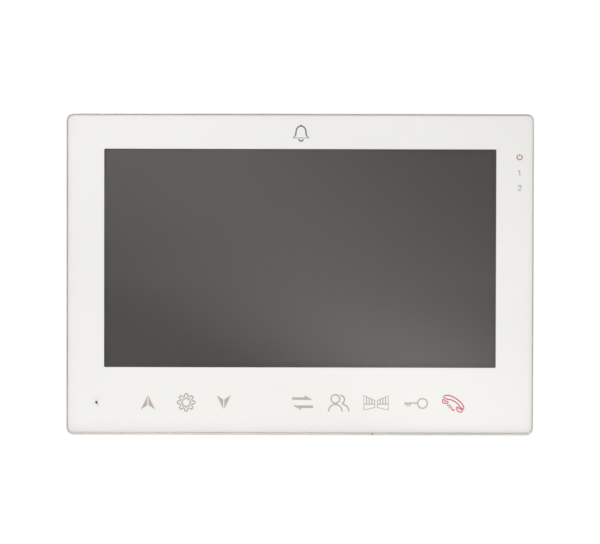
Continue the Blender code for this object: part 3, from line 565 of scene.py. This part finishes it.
def white_mask():
    """The white print behind the glass, with the display's window and the microphone's pinhole."""
    margin = 0.08 * MM
    window = (WINDOW_W, WINDOW_H, WINDOW_CORNER)
    mask = loft("white_mask", [
        within_glass(margin, MASK_LOW.y), within_glass(margin, MASK_HIGH.y),
        rounded_loop(*window, MASK_HIGH.y, WINDOW_Z), rounded_loop(*window, MASK_LOW.y, WINDOW_Z),
    ], PRINT, closed=True)
    cut_pinhole(mask, "mask_drill", 0.44 * MM)
    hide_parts("printed_mask")


def trim_ring():
    """The plated ring: a rounded lip, a narrow step down to the glass, and the flange behind it."""
    width, height = TRIM_HIGH.x - TRIM_LOW.x, TRIM_HIGH.z - TRIM_LOW.z
    corner = 2.8 * MM
    front, back = TRIM_LOW.y, TRIM_HIGH.y
    seat = MASK_HIGH.y + 0.15 * MM
    flange = 3 * MM
    back_chamfer = 0.15 * MM
    round_out, round_in = 0.17 * MM, 0.06 * MM
    hole_depth = 1.2 * MM

    def outside(inset, y):
        return rounded_loop(width - 2 * inset, height - 2 * inset, max(corner - inset, 0.5 * MM), y)

    loops = [outside(back_chamfer, back), outside(0.0, back - back_chamfer)]
    loops += [outside(inset, front + y) for inset, y in quarter_round(round_out, 5)]
    lip = reversed(quarter_round(round_in, 3))
    loops += [around_glass(POCKET_GAP + y, front + inset) for inset, y in lip]
    loops += [around_glass(POCKET_GAP, seat), outside(flange, seat), outside(flange, back)]
    ring = loft("trim_ring", loops, TRIM, closed=True)
    cut_box(ring, "trim_hole", (HOLE_W, 2 * hole_depth, HOLE_H), (HOLE_X, front, HOLE_Z))
    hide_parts("trim_frame")


def glass_bond_gap_shade():
    """The bead of adhesive in the gap between the glass and the trim; its dark grey is painted shade
    standing in for the gap's shadow.
    """
    front, back = MASK_LOW.y - 0.75 * MM, MASK_LOW.y - 0.1 * MM
    clear = 0.02 * MM
    bond = loft("glass_bond_gap_shade", [
        around_glass(POCKET_GAP - clear, front), around_glass(POCKET_GAP - clear, back),
        around_glass(clear, back), around_glass(clear, front),
    ], BOND_AND_PAINTED_SHADE, closed=True)


def trim_hole_shade_plug():
    """A dark plug just inside the trim's small hole, as painted shade for the hole's dark inside."""
    front, back = TRIM_LOW.y + 0.3 * MM, TRIM_LOW.y + 0.7 * MM
    play, corner = 0.03 * MM, 0.05 * MM
    width, height = HOLE_W - 2 * play, HOLE_H - 2 * play
    ends = [rounded_loop(width, height, corner, y, HOLE_Z) for y in (back, front)]
    shade_plug = loft("trim_hole_shade_plug", ends, BOND_AND_PAINTED_SHADE, closed=False)
    for vert in shade_plug.data.vertices:
        vert.co.x += HOLE_X


def display_pieces():
    """The display's dark border and, inside it, the picture area with its anti-glare film."""
    border, overlap = 0.95 * MM, 0.8 * MM
    outer_corner, inner_corner = 0.3 * MM, 0.15 * MM
    face = CELL_FACE - 0.12 * MM
    back = face + 0.08 * MM
    play = 0.02 * MM
    film_front, film_back = face + play, CELL_FACE - 0.03 * MM
    inner_w, inner_h = WINDOW_W - 2 * border, WINDOW_H - 2 * border
    outer = (WINDOW_W + 2 * overlap, WINDOW_H + 2 * overlap, outer_corner)
    inner = (inner_w, inner_h, inner_corner)
    rim = loft("display_border", [
        rounded_loop(*outer, face, WINDOW_Z), rounded_loop(*outer, back, WINDOW_Z),
        rounded_loop(*inner, back, WINDOW_Z), rounded_loop(*inner, face, WINDOW_Z),
    ], BLACK_BORDER, closed=True)
    size = (inner_w - 2 * play, inner_h - 2 * play, inner_corner)
    ends = [rounded_loop(*size, y, WINDOW_Z) for y in (film_back, film_front)]
    film = loft("display_film", ends, SCREEN, closed=False)


def microphone_nose():
    """The rubber boot's hollow nose, which comes forward through the mask into the pinhole."""
    outer, inner, edge = 0.37 * MM, 0.2 * MM, 0.05 * MM
    front, back = GLASS_LOW.y + 0.25 * MM, BOOT_LOW.y + 0.2 * MM
    outline = [(outer, back), (outer, front + edge), (outer - edge, front), (inner + edge, front),
               (inner, front + edge), (inner, back)]
    rings = [circle(r, (MICROPHONE_X, y, KEY_Z)) for r, y in outline]
    nose = loft("microphone_nose", rings, RUBBER, closed=True)


# Rear ---------------------------------------------------------------------------------------
def casing_screws():
    """Pan-head screws with a cross recess and a rolled thread, in the rear counterbores."""
    recess_reach, recess_width, recess_depth = 1.25 * MM, 0.5 * MM, 0.85 * MM
    head_height, head_soft = 1.4 * MM, 0.05 * MM
    # The head's crown: shares of its radius, and how far each is below its top.
    crown = [(0.5, 0.06 * MM), (0.78, 0.26 * MM), (0.94, 0.58 * MM), (1.0, 0.95 * MM)]
    tip_radius, tip_length = 0.05 * MM, 0.8 * MM
    thread_pitch, thread_depth = 0.9 * MM, 0.16 * MM
    for number in range(1, 5):
        node = f"housing_screw_{number}"
        low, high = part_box(node)
        x, z = (low.x + high.x) / 2, (low.z + high.z) / 2
        head = (high.x - low.x) / 2
        shank = head * 0.46
        seat = high.y - head_height
        outline = [(tip_radius, high.y)]
        outline += [(head * share, high.y - drop) for share, drop in crown]
        outline += [(head, seat + head_soft), (head - head_soft, seat), (shank, seat)]
        y = seat - thread_pitch
        while y > low.y + 2 * thread_pitch:
            outline += [(shank - thread_depth, y), (shank, y - thread_pitch * 0.35)]
            y -= thread_pitch
        outline += [(shank * 0.7, low.y + tip_length), (tip_radius, low.y)]
        screw = loft(f"cross_screw_{number}", [circle(r, (x, py, z), 32) for r, py in outline], SCREW_STEEL,
                     closed=False)
        for turn, size in enumerate(((recess_reach, recess_width), (recess_width, recess_reach))):
            cut_box(screw, f"recess_{number}_{turn}", (2 * size[0], 2 * recess_depth, 2 * size[1]),
                    (x, high.y, z), 45)
        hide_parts(node)


def header_contacts():
    """Square tinned contacts with pointed tips, round the moulded cores in the headers."""
    pitch, half, tip = 2.5 * MM, 0.35 * MM, 0.35 * MM
    foot_height, tip_depth = 1.25 * MM, 0.55 * MM
    pins = {"door_1_connector": 4, "door_2_connector": 4, "link_connector": 4, "power_connector": 2}
    for node, count in pins.items():
        low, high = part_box(node)
        x, z = (low.x + high.x) / 2, (low.z + high.z) / 2
        foot, top = low.y + foot_height, high.y - tip_depth
        shape = bmesh.new()
        for pin in range(count):
            px = x + (pin - (count - 1) / 2) * pitch
            made = bmesh.ops.create_cube(shape, size=1.0, matrix=Matrix.Translation(
                (px, (foot + top) / 2, z)) @ Matrix.Diagonal((2 * half, top - foot, 2 * half, 1.0)))
            end = [f for f in {f for v in made["verts"] for f in v.link_faces} if f.normal.y > 0.9]
            raised = bmesh.ops.extrude_face_region(shape, geom=end)["geom"]
            verts = [g for g in raised if isinstance(g, bmesh.types.BMVert)]
            bmesh.ops.delete(shape, geom=end, context="FACES_ONLY")
            bmesh.ops.translate(shape, vec=(0, tip, 0), verts=verts)
            bmesh.ops.scale(shape, vec=(0.35, 1.0, 0.35), verts=verts,
                            space=Matrix.Translation((-px, 0, -z)))
        bmesh.ops.recalc_face_normals(shape, faces=shape.faces)
        contacts = finish_piece(node.replace("connector", "contacts"), mesh_from(shape, node), TINNED)


def speaker_cloth():
    """Acoustic cloth glued inside the grille, sagging a little towards the cone."""
    low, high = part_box("speaker_gasket")
    x, z = (low.x + high.x) / 2, (low.z + high.z) / 2
    radius = (high.x - low.x) / 2
    thickness, sag, gap = 0.12 * MM, 0.35 * MM, 0.16 * MM
    face = high.y + gap
    rings = 8
    reach = [step / rings for step in range(1, rings + 1)]
    back = [(radius * t, face - sag * (1 - t * t)) for t in reach]
    outline = [(r, y - thickness) for r, y in back] + back[::-1]
    loft("speaker_cloth", [circle(r, (x, y, z), 48) for r, y in outline], CLOTH, closed=False)


# Printed symbols ----------------------------------------------------------------------------
def arc(centre, radius, start, end, steps=16, squash=1.0):
    """Points on an arc, with angles in degrees anticlockwise from the right, seen from the front."""
    found = []
    for step in range(steps + 1):
        angle = math.radians(start + (end - start) * step / steps)
        found.append((centre[0] + radius * math.cos(angle), centre[1] + squash * radius * math.sin(angle)))
    return found


def strokes(name, x, z, lines, width, look, loops=()):
    """Printed lines of one width, in millimetres about (x, z): open ones, and closed loops."""
    curve = bpy.data.curves.new(name, "CURVE")
    curve.dimensions = "3D"
    curve.bevel_depth = width / 2 * MM
    curve.bevel_resolution = 2
    curve.use_fill_caps = True
    for points, closed in [(line, False) for line in lines] + [(line, True) for line in loops]:
        spline = curve.splines.new("POLY")
        spline.points.add(len(points) - 1)
        spline.use_cyclic_u = closed
        for target, (px, pz) in zip(spline.points, points):
            target.co = (px * MM, 0.0, pz * MM, 1.0)
    source = linked(name, curve)
    bpy.context.view_layer.update()
    mesh = bpy.data.meshes.new_from_object(source.evaluated_get(bpy.context.evaluated_depsgraph_get()))
    bpy.data.objects.remove(source)
    flattened = PRINT_THICKNESS / (width * MM)
    mesh.transform(Matrix.Translation((x, PRINT_Y, z)) @ Matrix.Diagonal((1.0, flattened, 1.0, 1.0)))
    return finish_piece(name, mesh, look)


def patches(name, x, z, outlines, look):
    """Solid printed shapes, in millimetres about (x, z)."""
    shape = bmesh.new()
    for outline in outlines:
        face = shape.faces.new([shape.verts.new((x + px * MM, PRINT_Y - PRINT_THICKNESS / 2, z + pz * MM))
                                for px, pz in outline])
        raised = bmesh.ops.extrude_face_region(shape, geom=[face])["geom"]
        moved = [g for g in raised if isinstance(g, bmesh.types.BMVert)]
        bmesh.ops.translate(shape, vec=(0, PRINT_THICKNESS, 0), verts=moved)
    bmesh.ops.recalc_face_normals(shape, faces=shape.faces)
    return finish_piece(name, mesh_from(shape, name), look)


def mirrored(points):
    """Points mirrored left to right."""
    return [(-x, z) for x, z in points]


def arrow_keys():
    """Up and down arrows, each of two slim blades, and two opposed half arrows."""
    blade = [(-0.15, 2.85), (-0.25, -1.15), (-2.85, -2.85), (-1.15, 0.55)]
    patches("symbol_up", KEY_X["up"], KEY_Z, [blade, mirrored(blade)], BEIGE_INK)
    wing = [(-2.8, 2.75), (-0.2, 1.0), (-0.25, -2.75), (-1.5, 0.0)]
    patches("symbol_down", KEY_X["down"], KEY_Z + 0.15 * MM, [wing, mirrored(wing)], BEIGE_INK)
    upper = [(-4.1, 1.1), (3.9, 1.1), (1.9, 2.2), (0.75, 2.95), (0.75, 2.1), (-4.1, 2.1)]
    lower = [(-x, -z) for x, z in upper]
    patches("symbol_swap", KEY_X["swap"], KEY_Z, [upper, lower], BEIGE_INK)


def gear_key():
    """Gear outline with eight teeth and a rounded star inside."""
    count, points = 8, 160
    gear_r, tooth_height, steepness = 2.93, 0.48, 3.2
    star_r, star_height = 1.64, 0.14
    gear, star = [], []
    for i in range(points):
        angle = 2 * math.pi * i / points
        wave = math.cos(count * angle)
        outward = Vector((math.cos(angle), math.sin(angle)))
        gear.append((gear_r + tooth_height * math.tanh(steepness * wave)) * outward)
        star.append((star_r + star_height * wave) * outward)
    strokes("symbol_gear", KEY_X["gear"], KEY_Z, [], 0.52, BEIGE_INK, loops=[gear, star])


def people_key():
    """Two people, one behind the other."""
    strokes("symbol_people", KEY_X["people"], KEY_Z, [
        arc((-1.2, -3.45), 2.65, 180, 0, 18, 1.05),
        arc((0.75, 1.25), 1.65, 90, -68, 12),
        arc((1.1, -3.45), 3.0, 82, 0, 12),
    ], 0.56, BEIGE_INK, loops=[arc((-1.2, 1.5), 1.68, 0, 345, 23)])


def gate_key():
    """Two open gate leaves: bars above, a panel below."""
    outer, inner = 4.8, 0.55
    top_outer, top_inner, foot_outer, foot_inner, rail = 2.85, 0.9, -2.8, -1.85, -0.5
    leaf = [(-outer, top_outer), (-inner, top_inner), (-inner, foot_inner), (-outer, foot_outer)]
    lines = [[(-outer, rail), (-inner, rail)]]
    for bar in (0.25, 0.5, 0.75):
        x = -outer + bar * (outer - inner)
        lines.append([(x, rail), (x, top_outer + bar * (top_inner - top_outer))])
    lines += [mirrored(line) for line in lines]
    strokes("symbol_gate", KEY_X["gate"], KEY_Z, lines, 0.42, BEIGE_INK, loops=[leaf, mirrored(leaf)])


def key_key():
    """Door key lying on its side."""
    strokes("symbol_key", KEY_X["key"], KEY_Z - 0.1 * MM, [
        [(0.95, 0.0), (-4.3, 0.0)],
        [(-3.9, 0.0), (-3.9, -0.85)],
        [(-3.0, 0.0), (-3.0, -1.2)],
        [(-2.1, 0.0), (-2.1, -1.2)],
    ], 0.54, BEIGE_INK, loops=[arc((2.8, -0.1), 1.9, 0, 346, 26)])


def handset_key():
    """Red handset with its curled lead below."""
    handle = [
        (-4.0, 2.4), (-3.9, 2.95), (-3.15, 3.2), (-1.95, 3.2), (-0.85, 2.85), (0.45, 2.2), (1.65, 1.4),
        (2.5, 0.65), (3.25, -0.15), (3.75, -1.0), (3.95, -1.75), (3.75, -2.25), (3.35, -2.2),
        (2.75, -1.6), (2.15, -1.0), (1.7, -0.3), (1.0, 0.35), (0.1, 0.9), (-0.8, 1.35), (-1.6, 1.6),
        (-2.45, 1.6), (-3.25, 1.95),
    ]
    ear_cup = [
        (-4.45, 1.6), (-4.5, 0.8), (-4.25, 0.25), (-3.15, 0.1), (-2.35, -0.05), (-2.3, 0.65),
        (-2.95, 0.9), (-3.65, 1.15), (-4.05, 1.55),
    ]
    mouth_cup = [
        (1.0, -1.35), (1.1, -2.3), (1.6, -3.0), (2.15, -3.35), (3.05, -3.35), (3.4, -2.9),
        (2.95, -2.3), (2.15, -1.95), (1.5, -1.45),
    ]
    curls = [
        [(-2.7, -0.75), (-1.45, -0.75), (-1.5, -1.35), (-1.8, -1.9)],
        [(-0.8, -1.4), (-0.75, -2.35), (-0.45, -2.75), (0.1, -2.65), (0.1, -2.2)],
    ]
    strokes("symbol_handset", KEY_X["handset"], KEY_Z - 0.2 * MM, curls, 0.46, RED_INK,
            loops=[handle, ear_cup, mouth_cup])


def lamp_symbols():
    """Power symbol, 1 and 2 over the three small lamps."""
    power_z = MIDDLE_LAMP_Z + LAMP_PITCH + 0.45 * MM
    one_z = MIDDLE_LAMP_Z + 0.1 * MM
    two_z = MIDDLE_LAMP_Z - LAMP_PITCH + 0.2 * MM
    strokes("symbol_power", LAMP_X, power_z, [
        arc((0.0, -0.1), 1.02, 125, 415, 24),
        [(0.0, 1.1), (0.0, 0.25)],
    ], 0.42, POWER_INK)
    one = [(-0.55, 0.6), (0.0, 0.95), (0.0, -0.95)]
    strokes("numeral_1", LAMP_X + 0.1 * MM, one_z, [one], 0.36, GREY_INK)
    two = [*arc((0.05, 0.5), 0.52, 170, -30, 12), (-0.6, -0.95), (0.68, -0.95)]
    strokes("numeral_2", LAMP_X, two_z, [two], 0.3, GREY_INK)


def door_bell_pictogram():
    """A plain bell above the display."""
    dome = arc((0.0, 0.6), 1.9, 175, 5, 14, 1.15)
    outline = [(-3.0, -1.9), (-2.15, -0.9), *dome, (2.15, -0.9), (3.0, -1.9)]
    strokes("pictogram_bell", BELL_X, BELL_Z, [
        arc((0.0, -2.3), 0.85, 185, 355, 8),
        [(0.0, 2.8), (0.0, 3.35)],
    ], 0.55, DARK_INK, loops=[outline])


# Studio -------------------------------------------------------------------------------------
BAND_DIRECTION = (8.0, 0.0, 9.0)
BAND_LOWERED = 0.11
BAND_LIGHT = 0.78
BAND_LIGHT_BELOW = 1.2
BAND_RISE = 0.07
DOME_LIGHT = 0.38
FLOOR_LIGHT = 1.1
FLOOR_DROP = 60 * MM
FLOOR_FADE = (0.12, 0.6)
WHITE = (1.0, 1.0, 1.0, 1.0)
WHITE_SEEN = 1.05
WARM_TINT = (1.0, 0.98, 0.955, 1.0)
# Each lamp's place, side and power.
LAMPS = {
    "key_lamp": ((-0.35, -1.15, 0.6), 0.45, 7.25),
    "fill_lamp": ((0.75, -0.9, 0.45), 0.5, 0.8),
    "rear_lamp": ((0.6, 0.7, 0.9), 0.5, 2.6),
}


def band_of_light(tree, direction):
    """Brightness of the surroundings in a direction.

    It is a grey dome with one soft diagonal band, which is brighter below the horizon.
    """
    across = operate(tree, "ShaderNodeVectorMath", "DOT_PRODUCT", direction, BAND_DIRECTION)
    lowered = operate(tree, "ShaderNodeMath", "ADD", across.outputs["Value"], BAND_LOWERED)
    distance = operate(tree, "ShaderNodeMath", "ABSOLUTE", lowered.outputs[0])
    height = tree.nodes.new("ShaderNodeSeparateXYZ")
    tree.links.new(direction, height.inputs[0])
    peak = smooth_range(tree, height.outputs["Z"], -BAND_RISE, 0.0, BAND_LIGHT_BELOW, BAND_LIGHT)
    return smooth_range(tree, distance.outputs[0], 0.0, 1.0, peak, DOME_LIGHT)


def smooth_range(tree, value, start, end, low, high):
    """A value carried from start..end to low..high, with soft ends."""
    made = value_range(tree, value, start, end, low, high)
    made.interpolation_type = "SMOOTHSTEP"
    return made.outputs["Result"]


def white_to_the_eye(tree, kind, output, strength):
    """Plain white where the camera looks, and a warm light of that strength elsewhere."""
    seen, lit = tree.nodes.new(kind), tree.nodes.new(kind)
    seen.inputs["Color"].default_value = WHITE
    seen.inputs["Strength"].default_value = WHITE_SEEN
    lit.inputs["Color"].default_value = WARM_TINT
    tree.links.new(strength, lit.inputs["Strength"])
    ray = tree.nodes.new("ShaderNodeLightPath")
    surface = mixed(tree, ray.outputs["Is Camera Ray"], lit.outputs[0], seen.outputs[0])
    tree.links.new(surface, output.inputs["Surface"])


def studio_floor():
    """Plain pale floor, which fades into the surroundings, so that the glass mirrors no horizon."""
    look = bpy.data.materials.new("studio_floor")
    look.use_nodes = True
    tree = look.node_tree
    tree.nodes.remove(tree.nodes["Principled BSDF"])
    place = tree.nodes.new("ShaderNodeTexCoord").outputs["Object"]
    direction = operate(tree, "ShaderNodeVectorMath", "NORMALIZE", place)
    reach = operate(tree, "ShaderNodeVectorMath", "LENGTH", place)
    far = band_of_light(tree, direction.outputs["Vector"])
    strength = smooth_range(tree, reach.outputs["Value"], *FLOOR_FADE, FLOOR_LIGHT, far)
    white_to_the_eye(tree, "ShaderNodeEmission", tree.nodes["Material Output"], strength)
    shape = bmesh.new()
    middle = Matrix.Translation((0, 0, CAD_LOW.z - FLOOR_DROP))
    bmesh.ops.create_grid(shape, x_segments=1, y_segments=1, size=5.0, matrix=middle)
    floor = linked("studio_floor", mesh_from(shape, "studio_floor"))
    floor.data.materials.append(look)


def surroundings():
    """The world round the studio."""
    world = bpy.data.worlds.new("studio")
    bpy.context.scene.world = world
    world.use_nodes = True
    tree = world.node_tree
    tree.nodes.remove(tree.nodes["Background"])
    strength = band_of_light(tree, tree.nodes.new("ShaderNodeTexCoord").outputs["Generated"])
    white_to_the_eye(tree, "ShaderNodeBackground", tree.nodes["World Output"], strength)


def aim(made, place, target, roll=0.0):
    """Puts a lamp or camera at a place, pointing at a target and rolled about its own axis."""
    made.location = place
    made.rotation_mode = "QUATERNION"
    facing = (Vector(target) - Vector(place)).to_track_quat("-Z", "Y")
    made.rotation_quaternion = facing @ Matrix.Rotation(roll, 4, "Z").to_quaternion()


def lamps():
    """Soft square lamps, aimed at the origin."""
    for name, (place, side, power) in LAMPS.items():
        data = bpy.data.lights.new(name, "AREA")
        data.shape = "SQUARE"
        data.size = side
        data.energy = power
        aim(linked(name, data), place, (0, 0, 0))


def camera():
    """A long lens almost square to the glass."""
    distance = 1.0
    view_width = 235.6 * MM
    elevation = math.radians(1.0)
    roll = math.radians(0.13)
    target = Vector((-0.02 * MM, GLASS_LOW.y, 1.05 * MM))
    data = bpy.data.cameras.new("camera")
    data.lens = data.sensor_width * distance / view_width
    made = linked("camera", data)
    aim(made, target + distance * Vector((0.0, -math.cos(elevation), math.sin(elevation))), target, roll)
    bpy.context.scene.camera = made


camera()
dress_cad_nodes()
glass_panel()
white_mask()
trim_ring()
glass_bond_gap_shade()
trim_hole_shade_plug()
display_pieces()
microphone_nose()
casing_screws()
header_contacts()
speaker_cloth()
arrow_keys()
gear_key()
people_key()
gate_key()
key_key()
handset_key()
lamp_symbols()
door_bell_pictogram()
studio_floor()
surroundings()
lamps()
bpy.context.scene.view_settings.view_transform = "Standard"
